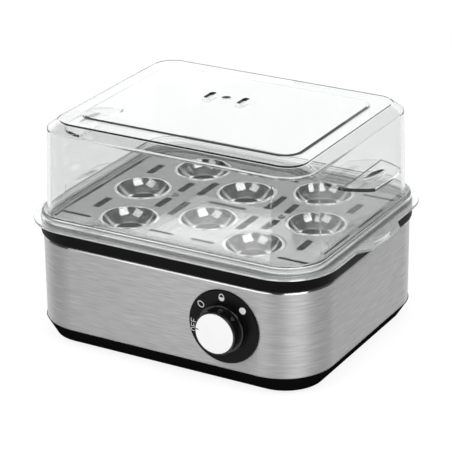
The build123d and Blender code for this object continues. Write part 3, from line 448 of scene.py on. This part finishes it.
@dataclass(frozen=True)
class ClearFinish:
    """A clear moulded plastic whose real wall thickness bends the light."""

    name: str
    colour: Colour
    roughness: float = 0.01
    index: float = 1.49
    wave: float = 0.00004
    clearness: float = 1.0

    def build(self) -> bpy.types.Material:
        """Makes the clear material; lamps shine through it, and slow waves unsettle its reflections.

        Returns:
            The finished material.
        """
        board = MaterialBoard(self.name)
        skin = board.add("ShaderNodeGroup", {"Vector": board.place, "Scale": CLEAR_GRAIN},
                         node_tree=Effects.moulded_grain())
        tone = board.blend(skin.outputs["Cloud"], scaled(self.colour, 1 - CLEAR_VARIATION), self.colour)
        board.set(Base_Color=tone, IOR=self.index, Transmission_Weight=self.clearness,
                  Roughness=board.spread(skin.outputs["Cloud"], 0.0, 2 * self.roughness))
        board.bump(skin.outputs["Cloud"], self.wave, WAVE_STRENGTH)
        path = board.add("ShaderNodeLightPath")
        lets_light = board.add("ShaderNodeBsdfTransparent", {"Color": scaled(self.colour, 1 - LAMP_LOSS)})
        shown = board.add("ShaderNodeMixShader", {0: path.outputs["Is Shadow Ray"], 1: board.shader.outputs[0],
                                                  2: lets_light.outputs[0]})
        board.tree.links.new(shown.outputs[0], board.output.inputs["Surface"])
        return board.material


class Assembly:
    """A sub-assembly of the cooker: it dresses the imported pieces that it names."""

    def wear(self, finish: MetalFinish | PlasticFinish | ClearFinish, *nodes: str) -> None:
        """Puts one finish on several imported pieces.

        Args:
            finish: The finish to make.
            nodes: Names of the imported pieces.
        """
        material = finish.build()
        for name in nodes:
            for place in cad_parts[name].material_slots:
                place.material = material
            LOG.info("%s: %s", name, finish.name)


@dataclass
class BodyShell(Assembly):
    """The base, the steel wrap, the black collar and what shows outside on them; greys from 0 to 255."""

    steel: float = 208.0
    steel_roughness: float = 0.62
    rim_height: float = 74.6 * MM
    rim_lean: float = 0.84
    rim_roughness: float = 0.2
    black: float = 12.0
    base: float = 15.0
    rubber: float = 26.0
    screw: float = 180.0

    def dress(self) -> None:
        """Dresses the outer body."""
        self.wear(RimmedFinish("brushed_body_steel", grey(self.steel), self.steel_roughness, Working.BRUSHED,
                               variation=0.4, spread=0.05, anisotropy=0.9, rim=self.rim_height,
                               rim_lean=self.rim_lean, rim_roughness=self.rim_roughness), "steel_wrap")
        self.wear(PlasticFinish("collar_plastic", grey(self.black), roughness=0.45, specular=0.05), "top_collar")
        self.wear(PlasticFinish("base_plastic", grey(self.base), roughness=0.6, specular=0.0), "base_tray")
        self.wear(PlasticFinish("gland_plastic", grey(self.black), roughness=0.5, specular=0.2, grain=4000.0),
                  "cord_gland")
        self.wear(PlasticFinish("foot_rubber", grey(self.rubber), roughness=0.75, specular=0.2, grain=3000.0,
                                depth=0.00004), "rubber_feet")
        self.wear(MetalFinish("screw_steel", grey(self.screw), roughness=0.3, working=Working.PLATED), "base_screws")


@dataclass
class HeatSystem(Assembly):
    """The water pan and the heater that is strapped under it; greys from 0 to 255."""

    pan: float = 140.0
    gasket: float = 205.0

    def dress(self) -> None:
        """Dresses the pan, its gasket and the heater."""
        self.wear(MetalFinish("pan_steel", grey(self.pan), roughness=0.2, working=Working.ROLLED, variation=0.05),
                  "water_pan")
        self.wear(PlasticFinish("silicone_gasket", grey(self.gasket), roughness=0.6, specular=0.4, grain=3000.0),
                  "pan_gasket")
        self.wear(MetalFinish("cast_aluminium", tint(196, 198, 200), roughness=0.5, working=Working.PLATED,
                              variation=0.12), "heat_spreader")
        self.wear(MetalFinish("element_sheath", tint(112, 108, 104), roughness=0.45, working=Working.PLATED,
                              variation=0.2), "heating_element")
        self.wear(MetalFinish("strap_steel", tint(186, 186, 180), roughness=0.38, working=Working.ROLLED,
                              variation=0.08), "pan_strap", "strap_nut")
        self.wear(MetalFinish("zinc_screws", tint(196, 194, 184), roughness=0.32, working=Working.PLATED),
                  "strap_screws", "thermostat_screws")
        self.wear(PlasticFinish("thermostat_resin", tint(58, 44, 36), roughness=0.5, specular=0.4),
                  "boil_dry_thermostat")


@dataclass
class Controls(Assembly):
    """The dial, its printed marks and the switch behind it; sizes in metres, angles in degrees, greys to 255."""

    centre_x: float = 48.5 * MM
    centre_z: float = 44.7 * MM
    face_y: float = -92.7 * MM
    print_thickness: float = 0.03 * MM
    letter_height: float = 4.2 * MM
    letter_width: float = 2.6 * MM
    letter_gap: float = 0.7 * MM
    pen: float = 0.42 * MM
    bar_cut: float = 0.4 * MM
    off_angle: float = 188.0
    off_radius: float = 22.6 * MM
    egg_half: tuple[float, float] = (2.1 * MM, 2.7 * MM)
    hollow_half: tuple[float, float] = (1.5 * MM, 2.1 * MM)
    egg_taper: float = 0.12
    egg_radius: float = 21.3 * MM
    yolk_depth: float = 0.9 * MM
    soft_angle: float = 141.8
    medium_angle: float = 92.7
    dot_half: float = 2.45 * MM
    dot_radius: float = 21.1 * MM
    hard_angle: float = 45.4
    pointer_angle: float = 175.6
    pointer_inner: float = 11.6 * MM
    pointer_half: float = 0.45 * MM
    pointer_ink: float = 110.0
    print_ink: float = 212.0
    cap: float = 240.0
    black: float = 12.0
    spring: float = 170.0
    squareness: float = 0.7
    samples: int = 64

    def dress(self) -> None:
        """Dresses the dial and the switch."""
        self.wear(PlasticFinish("bezel_black", grey(self.black), roughness=0.3, specular=0.1, grain=7000.0,
                                depth=0.00001), "dial_bezel")
        self.wear(PlasticFinish("knob_black", grey(self.black), roughness=0.1, specular=0.5, grain=7000.0,
                                depth=0.000005), "knob")
        self.wear(PointerFinish("cap_white", grey(self.cap), roughness=0.35, specular=0.4, grain=7000.0,
                                depth=0.00001, variation=0.02, centre=(self.centre_x, 0.0, self.centre_z),
                                angle=math.radians(self.pointer_angle), inner=self.pointer_inner,
                                half_width=self.pointer_half, ink=grey(self.pointer_ink)), "knob_cap")
        self.wear(MetalFinish("spring_steel", grey(self.spring), roughness=0.3, working=Working.PLATED),
                  "knob_spring")
        self.wear(MetalFinish("shaft_brass", tint(190, 162, 96), roughness=0.3, working=Working.PLATED,
                              variation=0.08), "control_shaft")
        self.wear(MetalFinish("control_plate_steel", tint(184, 184, 178), roughness=0.4, working=Working.ROLLED,
                              variation=0.08), "control_plate")
        self.wear(PlasticFinish("switch_resin", tint(40, 38, 36), roughness=0.45, specular=0.4), "control_body")
        self.wear(MetalFinish("control_screw_steel", tint(190, 188, 180), roughness=0.32, working=Working.PLATED),
                  "control_screws")

    def build(self) -> None:
        """Prints the four settings round the dial."""
        ink = PlasticFinish("dial_print_white", grey(self.print_ink), roughness=0.5, specular=0.3, grain=9000.0,
                            depth=0.000005, variation=0.04).build()
        self._print("setting_off", self._off(self.off_angle, self.off_radius), ink)
        egg = self._egg(*self.egg_half)
        hollow = self._egg(*self.hollow_half)
        self._print("setting_soft", [self._set(egg, hollow, self.soft_angle, self.egg_radius)], ink)
        half = np.stack((hollow[:, 0], np.minimum(hollow[:, 1], 0.0)), axis=1)
        middle = half * 0.0 - [0.0, self.yolk_depth]
        self._print("setting_medium", [self._set(egg, hollow, self.medium_angle, self.egg_radius),
                                       self._set(half, middle, self.medium_angle, self.egg_radius)], ink)
        full = self._egg(self.dot_half, self.dot_half)
        self._print("setting_hard", [self._set(full, full * 0.0, self.hard_angle, self.dot_radius)], ink)

    def _egg(self, half_width: float, half_height: float) -> np.ndarray:
        """An egg outline: x = a cos t (1 - taper sin t), y = b sin t.

        Args:
            half_width: Half the egg's width.
            half_height: Half the egg's height.

        Returns:
            Points (samples, 2), anticlockwise from the right.
        """
        turn = np.linspace(0, 2 * np.pi, self.samples, endpoint=False)
        narrowing = 1 - self.egg_taper * np.sin(turn)
        return np.stack((half_width * np.cos(turn) * narrowing, half_height * np.sin(turn)), axis=1)

    def _set(self, outer: np.ndarray, inner: np.ndarray, angle: float, radius: float) -> tuple[np.ndarray, int]:
        """A ruled ring p(s, t) = (1 - t) inner(s) + t outer(s), turned to point out at an angle round the dial.

        Args:
            outer: Outer outline, (n, 2).
            inner: Inner outline, (n, 2), or one point repeated.
            angle: Place round the dial, degrees anticlockwise from the right.
            radius: Distance from the dial's centre.

        Returns:
            The grid's points, (n, 3, 2), and 1 as it closes round.
        """
        across = np.linspace(0, 1, 3)[None, :, None]
        flat = inner[:, None, :] * (1 - across) + outer[:, None, :] * across
        out = np.array((math.cos(math.radians(angle)), math.sin(math.radians(angle))))
        side = np.array((out[1], -out[0]))
        return flat[..., :1] * side + flat[..., 1:] * out + radius * out, 1

    def _off(self, angle: float, radius: float) -> list[tuple[np.ndarray, int]]:
        """The word for the rest setting: a ring between two superellipses, and bilinear strips, read upwards.

        Args:
            angle: Place round the dial, degrees anticlockwise from the right.
            radius: Distance from the dial's centre to the middle of the word.

        Returns:
            One grid and its closing flag for each stroke.
        """
        tall, wide, pen = self.letter_height, self.letter_width, self.pen
        step = wide + self.letter_gap
        turn = np.linspace(0, 2 * np.pi, self.samples, endpoint=False)
        circle = np.stack((np.cos(turn), np.sin(turn)), axis=1)
        round_o = np.sign(circle) * np.abs(circle) ** self.squareness
        halves = np.array((wide / 2, tall / 2))
        outer, inner = round_o * halves, round_o * (halves - pen)
        across = np.linspace(0, 1, 3)[None, :, None]
        strokes = [(inner[:, None, :] * (1 - across) + outer[:, None, :] * across + (-step, 0.0), 1)]
        stem = ((-wide / 2, -wide / 2 + pen), (-tall / 2, tall / 2))
        arm = ((-wide / 2 + pen, wide / 2), (tall / 2 - pen, tall / 2))
        bar = ((-wide / 2 + pen, wide / 2 - self.bar_cut), (-pen / 2, pen / 2))
        for shift in (0.0, step):
            for (left, right), (low, high) in (stem, arm, bar):
                grid = np.stack(np.meshgrid((left + shift, right + shift), (low, high), indexing="ij"), axis=2)
                strokes.append((grid, 0))
        place = math.radians(angle)
        middle = np.array((radius * math.cos(place), radius * math.sin(place)))
        return [(np.stack((-grid[..., 1], grid[..., 0]), axis=2) + middle, closed) for grid, closed in strokes]

    def _print(self, name: str, grids: list[tuple[np.ndarray, int]], ink: bpy.types.Material) -> None:
        """Joins grids on the dial's face into one thin printed piece.

        Args:
            name: The piece's name.
            grids: Each grid's flat points, (n, m, 2), and whether it closes round.
            ink: The print's material.
        """
        points, faces, start = [], [], 0
        for grid, closed in grids:
            rows, columns = grid.shape[:2]
            flat = grid.reshape(-1, 2)
            points.append(np.stack((self.centre_x + flat[:, 0], np.full(len(flat), self.face_y),
                                    self.centre_z + flat[:, 1]), axis=1))
            row, column = np.meshgrid(np.arange(rows - 1 + closed), np.arange(columns - 1), indexing="ij")
            here, after = row * columns + column, (row + 1) % rows * columns + column
            quads = np.stack((here, after, after + 1, here + 1), axis=2).reshape(-1, 4)
            faces.append(quads + start)
            start += rows * columns
        piece = add_mesh(name, np.concatenate(points), np.concatenate(faces), (0.0, -1.0, 0.0))
        solid = piece.modifiers.new("print_thickness", "SOLIDIFY")
        solid.thickness = self.print_thickness
        solid.offset = 1.0
        piece.data.materials.append(ink)
        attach(piece, "base")
        LOG.info("%s: %s", name, ink.name)


@dataclass
class Wiring(Assembly):
    """The terminal block and the leads inside the base."""

    def dress(self) -> None:
        """Dresses the block, its screws, the leads and the fuse."""
        self.wear(PlasticFinish("block_resin", tint(214, 208, 192), roughness=0.5, specular=0.4), "terminal_block")
        self.wear(MetalFinish("terminal_brass", tint(186, 160, 100), roughness=0.32, working=Working.PLATED),
                  "terminal_screws")
        for name, colour, leads in (("lead_brown", tint(96, 58, 36), ("live_lead", "link_lead")),
                                    ("lead_blue", tint(40, 74, 140), ("neutral_lead",)),
                                    ("lead_green", tint(70, 132, 58), ("earth_lead",))):
            self.wear(PlasticFinish(name, colour, roughness=0.55, specular=0.35, grain=3000.0), *leads)
        self.wear(MetalFinish("fuse_case", tint(198, 196, 188), roughness=0.35, working=Working.PLATED),
                  "thermal_fuse")


@dataclass
class CookingStack(Assembly):
    """The clear carrier, the pressed egg rack and the clear lid; sizes in metres, greys from 0 to 255."""

    rack: float = 160.0
    # Painted highlight grey for the rack's cup lips and hole edges; lip and hole give each ring's radius and half
    # width.
    rack_painted_highlight: float = 216.0
    cups: tuple[tuple[float, float, float], ...] = ((48.5 * MM, 50.3 * MM, 0.0), (68.5 * MM, 0.0, 0.0),
                                                    (0.0, 26.5 * MM, 0.0))
    lip_highlight: tuple[float, float] = (19.5 * MM, 1.05 * MM)
    hole_highlight: tuple[float, float] = (10.7 * MM, 0.7 * MM)
    carrier_clearness: float = 0.87

    def dress(self) -> None:
        """Dresses the pieces that lift off."""
        # The rack steel has painted highlight rings at its cup lips and hole edges.
        self.wear(CuppedFinish("rack_steel", grey(self.rack), roughness=0.09, working=Working.ROLLED, variation=0.03,
                               spread=0.03, cups=self.cups, highlight_rings=(self.lip_highlight, self.hole_highlight),
                               painted_highlight=grey(self.rack_painted_highlight)), "egg_rack")
        self.wear(ClearFinish("clear_carrier_plastic", tint(249, 250, 250), roughness=0.003, wave=0.000004,
                              clearness=self.carrier_clearness), "carrier")
        self.wear(ClearFinish("clear_lid_plastic", tint(240, 241, 241)), "lid")


def add_mesh(name: str, points: np.ndarray, faces: np.ndarray, outward: tuple[float, float, float] | None = None,
             ) -> bpy.types.Object:
    """Makes an object from whole arrays, merges doubled points and turns its faces outwards.

    Args:
        name: The object's name.
        points: (n, 3) places in metres.
        faces: (m, 4) corner indices.
        outward: The way an open sheet faces, or None for a closed shape.

    Returns:
        The object, linked to the scene.
    """
    mesh = bpy.data.meshes.new(name)
    mesh.from_pydata(points.tolist(), [], faces.tolist())
    form = bmesh.new()
    form.from_mesh(mesh)
    bmesh.ops.remove_doubles(form, verts=form.verts, dist=DOUBLES)
    bmesh.ops.recalc_face_normals(form, faces=form.faces)
    if outward is not None:
        turned = [face for face in form.faces if face.normal.dot(Vector(outward)) < 0]
        bmesh.ops.reverse_faces(form, faces=turned)
    form.to_mesh(mesh)
    form.free()
    thing = bpy.data.objects.new(name, mesh)
    bpy.context.scene.collection.objects.link(thing)
    return thing


@dataclass(frozen=True)
class Softbox:
    """One studio lamp: a lit rectangle that looks at the cooker."""

    name: str
    azimuth: float
    elevation: float
    width: float
    height: float
    radiance: float
    distance: float = 1.3
    shift: tuple[float, float, float] = (0.0, 0.0, 0.0)

    def build(self, target: Vector) -> None:
        """Hangs the lamp; its power is radiance times pi times its area.

        Args:
            target: The point that it looks at before it is shifted.
        """
        lamp = bpy.data.lights.new(self.name, "AREA")
        lamp.shape = "RECTANGLE"
        lamp.size = self.width
        lamp.size_y = self.height
        lamp.energy = self.radiance * math.pi * self.width * self.height
        turn, rise = math.radians(self.azimuth), math.radians(self.elevation)
        way = Vector((math.sin(turn) * math.cos(rise), -math.cos(turn) * math.cos(rise), math.sin(rise)))
        hung = bpy.data.objects.new(self.name, lamp)
        hung.location = target + way * self.distance + Vector(self.shift)
        hung.visible_camera = False
        hung.rotation_euler = way.to_track_quat("Z", "Y").to_euler()
        bpy.context.scene.collection.objects.link(hung)


@dataclass
class Studio:
    """The pale floor, the soft lamps, the white surroundings and the camera; sizes in metres and degrees."""

    azimuth: float = 29.84
    elevation: float = 23.04
    roll: float = -0.64
    distance: float = 1.52022
    lens: float = 174.37
    sensor: float = 36.0
    reach: float = 50.0
    aim: tuple[float, float, float] = (0.000497, -0.003697, 0.073879)
    floor_half: float = 6.0
    floor_cells: int = 8
    floor_level: float = -0.2 * MM
    floor_grey: float = 225.0
    floor_matt: float = 120.0
    floor_glow: float = 0.85
    sky_low: tuple[float, float] = (0.05, 0.2)
    sky_back: tuple[float, float] = (0.44, 0.58)
    sky_top: tuple[float, float] = (0.86, 0.96)
    sky_dark: float = 0.1
    sky_lit: float = 0.4
    fill: float = 0.75
    lamps: tuple[Softbox, ...] = (
        Softbox("softbox_left", -22.0, 46.5, 0.76, 0.72, 2.2),
        Softbox("softbox_right", 59.0, 46.5, 0.8, 0.72, 3.6),
        Softbox("back_card_foot", 209.84, 0.0, 0.505, 0.026, 0.9, 0.25, (-0.171, -0.098, 0.139)),
        Softbox("back_card_low", 209.84, 0.0, 0.9, 0.104, 0.66, 0.25, (0.0, 0.0, 0.204)),
        Softbox("table_light_wide", 0.0, -90.0, 0.15, 0.12, 1.2, 0.072, (-0.09, -0.355, 0.0)),
        Softbox("table_light_mid", 0.0, -90.0, 0.12, 0.09, 1.1, 0.071, (-0.09, -0.348, 0.0)),
        Softbox("table_light", 0.0, -90.0, 0.09, 0.06, 0.9, 0.07, (-0.09, -0.341, 0.0)),
    )

    def build(self) -> None:
        """Sets up the whole studio."""
        self._camera()
        for lamp in self.lamps:
            lamp.build(Vector(self.aim))
        self._floor()
        self._surroundings()
        bpy.context.scene.view_settings.view_transform = "Standard"

    def _camera(self) -> None:
        """Places the camera on a sphere round the aim point, then rolls it."""
        turn, rise, roll = (math.radians(angle) for angle in (self.azimuth, self.elevation, self.roll))
        back = Vector((math.sin(turn) * math.cos(rise), -math.cos(turn) * math.cos(rise), math.sin(rise)))
        level = Vector((math.cos(turn), math.sin(turn), 0.0))
        raised = back.cross(level)
        right = level * math.cos(roll) + raised * math.sin(roll)
        up = raised * math.cos(roll) - level * math.sin(roll)
        seen = bpy.data.cameras.new("photo_camera")
        seen.lens = self.lens
        seen.sensor_width = self.sensor
        seen.sensor_fit = "HORIZONTAL"
        seen.clip_end = self.reach
        stand = bpy.data.objects.new("photo_camera", seen)
        turned = Matrix((right, up, back)).transposed().to_4x4()
        stand.matrix_world = Matrix.Translation(Vector(self.aim) + back * self.distance) @ turned
        bpy.context.scene.collection.objects.link(stand)
        bpy.context.scene.camera = stand

    @staticmethod
    def _seen(board: NodeBoard) -> tuple[bpy.types.Node, bpy.types.NodeSocket]:
        """Tells the rays that show the background: from the camera, from metal and from glass.

        Args:
            board: The tree that asks.

        Returns:
            The light path node, and a socket that is 1 for those rays.
        """
        path = board.add("ShaderNodeLightPath")
        mirror = board.add("ShaderNodeMath", {0: path.outputs["Is Glossy Ray"],
                                              1: path.outputs["Is Transmission Ray"]}, operation="MAXIMUM")
        either = board.add("ShaderNodeMath", {0: path.outputs["Is Camera Ray"], 1: mirror.outputs[0]},
                           operation="MAXIMUM")
        return path, either.outputs[0]

    def _floor(self) -> None:
        """Lays a flat grid as the floor; part of its white is its own, so a soft shadow stays on it."""
        cells, line = self.floor_cells, self.floor_cells + 1
        edge = np.linspace(-self.floor_half, self.floor_half, line)
        across, along = np.meshgrid(edge, edge, indexing="ij")
        points = np.stack((across, along, np.full_like(across, self.floor_level)), axis=2).reshape(-1, 3)
        row, column = np.meshgrid(np.arange(cells), np.arange(cells), indexing="ij")
        here = row * line + column
        faces = np.stack((here, here + line, here + line + 1, here + 1), axis=2).reshape(-1, 4)
        floor = add_mesh("studio_floor", points, faces, (0.0, 0.0, 1.0))
        board = MaterialBoard("pale_floor")
        board.set(Base_Color=grey(self.floor_grey), Roughness=1.0, Specular_IOR_Level=0.0)
        _, seen = self._seen(board)
        glow = board.add("ShaderNodeEmission", {"Color": (1.0, 1.0, 1.0, 1.0), "Strength": self.floor_glow})
        matt = board.add("ShaderNodeBsdfDiffuse", {"Color": grey(self.floor_matt)})
        lit = board.add("ShaderNodeAddShader", {0: glow.outputs[0], 1: matt.outputs[0]})
        mixed = board.add("ShaderNodeMixShader", {0: seen, 1: board.shader.outputs[0], 2: lit.outputs[0]})
        board.tree.links.new(mixed.outputs[0], board.output.inputs["Surface"])
        floor.data.materials.append(board.material)

    @staticmethod
    def _ramp(board: NodeBoard, value: bpy.types.NodeSocket, ends: tuple[float, float], first: float,
              last: float) -> bpy.types.NodeSocket:
        """Goes from one level to another while a value crosses a range.

        Args:
            board: The tree that asks.
            value: The value's socket.
            ends: Where the range starts and ends.
            first: Level at the start and before it.
            last: Level at the end and past it.

        Returns:
            The socket with the level.
        """
        ramp = board.add("ShaderNodeMapRange", {"Value": value, "From Min": ends[0], "From Max": ends[1],
                                                "To Min": first, "To Max": last})
        return ramp.outputs["Result"]

    def _surroundings(self) -> None:
        """Makes the surroundings: white low down and behind, grey overhead, dark in front, and a plain fill.

        Metal and glass see white where z is small or b . p is large, with b level and away from the camera's stand;
        the camera sees white everywhere, and matt faces get the fill alone.
        """
        world = bpy.data.worlds.new("white_studio")
        bpy.context.scene.world = world
        world.use_nodes = True
        board = NodeBoard(world.node_tree)
        way = board.add("ShaderNodeTexCoord").outputs["Generated"]
        height = board.add("ShaderNodeSeparateXYZ", {0: way}).outputs["Z"]
        turn = math.radians(self.azimuth)
        behind = board.add("ShaderNodeVectorMath", {0: way, 1: (-math.sin(turn), math.cos(turn), 0.0)},
                           operation="DOT_PRODUCT")
        back = self._ramp(board, behind.outputs["Value"], self.sky_back, self.sky_dark, 1.0)
        top = self._ramp(board, height, self.sky_top, self.sky_dark, self.sky_lit)
        path, seen = self._seen(board)
        white = self._ramp(board, height, self.sky_low, 1.0, self.sky_dark)
        for other in (back, top, path.outputs["Is Camera Ray"]):
            white = board.add("ShaderNodeMath", {0: white, 1: other}, operation="MAXIMUM").outputs[0]
        shown = board.tree.nodes["Background"]
        board.tree.links.new(white, shown.inputs["Color"])
        filled = board.add("ShaderNodeBackground", {"Color": (1.0, 1.0, 1.0, 1.0), "Strength": self.fill})
        mixed = board.add("ShaderNodeMixShader", {0: seen, 1: filled.outputs[0], 2: shown.outputs[0]})
        board.tree.links.new(mixed.outputs[0], board.tree.nodes["World Output"].inputs["Surface"])


def main() -> None:
    """Builds and dresses every sub-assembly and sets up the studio."""
    logging.basicConfig(level=logging.INFO, format="%(name)s %(message)s")
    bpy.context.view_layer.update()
    controls = Controls()
    for assembly in (BodyShell(), HeatSystem(), controls, Wiring(), CookingStack()):
        assembly.dress()
    controls.build()
    Studio().build()
    bpy.context.view_layer.update()


if __name__ == "__main__":
    main()
